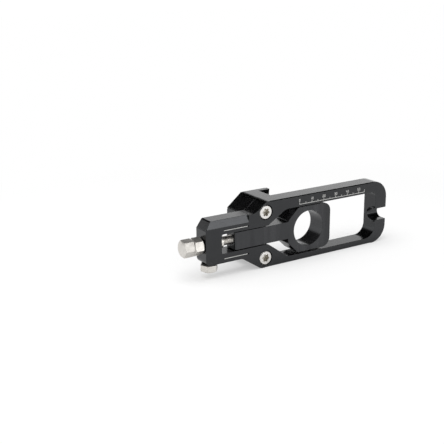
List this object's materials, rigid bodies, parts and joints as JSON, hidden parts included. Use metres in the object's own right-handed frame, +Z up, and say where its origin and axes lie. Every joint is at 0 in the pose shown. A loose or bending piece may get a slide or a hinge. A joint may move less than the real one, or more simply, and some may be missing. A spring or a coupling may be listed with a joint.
{
  "type": "motorcycle chain adjuster",
  "caption": "Chain adjuster for a motorcycle rear axle: a sliding axle block in a slotted frame, moved by a captive screw, with an engraved scale and a forked clamp for the swingarm.",
  "frame": {"origin": "centre of the bottom of the bounding box", "axes": "+X along the frame from the adjusting screw to the notched end, +Y from the outer face inwards towards the wheel, +Z up"},
  "size_m": [0.1606, 0.029, 0.044],
  "materials": {
    "black_anodised": "satin black anodised, milled",
    "stainless_steel": "turned stainless steel",
    "black_washer": "matt black",
    "engraving_fill": "pale matt filling"
  },
  "bodies": {
    "frame": {"outer_frame": "black_anodised", "clamp_block": "black_anodised", "lock_bolt": "stainless_steel", "lock_washer": "black_washer", "upper_clamp_screw": "stainless_steel", "lower_clamp_screw": "stainless_steel", "scale_marks": "engraving_fill", "scale_figures": "engraving_fill", "arm_lines": "engraving_fill"},
    "adjuster": {"adjuster_screw": "stainless_steel", "spacer_sleeve": "stainless_steel", "thrust_collar": "stainless_steel"},
    "slider": {"axle_slider": "black_anodised"}
  },
  "joints": [
    {"name": "screw_turn", "type": "hinge", "parent": "frame", "child": "adjuster", "pos_m": [-0.04715, -0.00875, 0.0218], "axis": [1, 0, 0], "range_deg": [-11880, 1728]},
    {"name": "axle_slide", "type": "slide", "parent": "frame", "child": "slider", "axis": [1, 0, 0], "range_m": [-0.0048, 0.033]}
  ],
  "couplings": [
    {"joint": "screw_turn", "follows": "axle_slide", "rad_per_m": -6283.2}
  ]
}
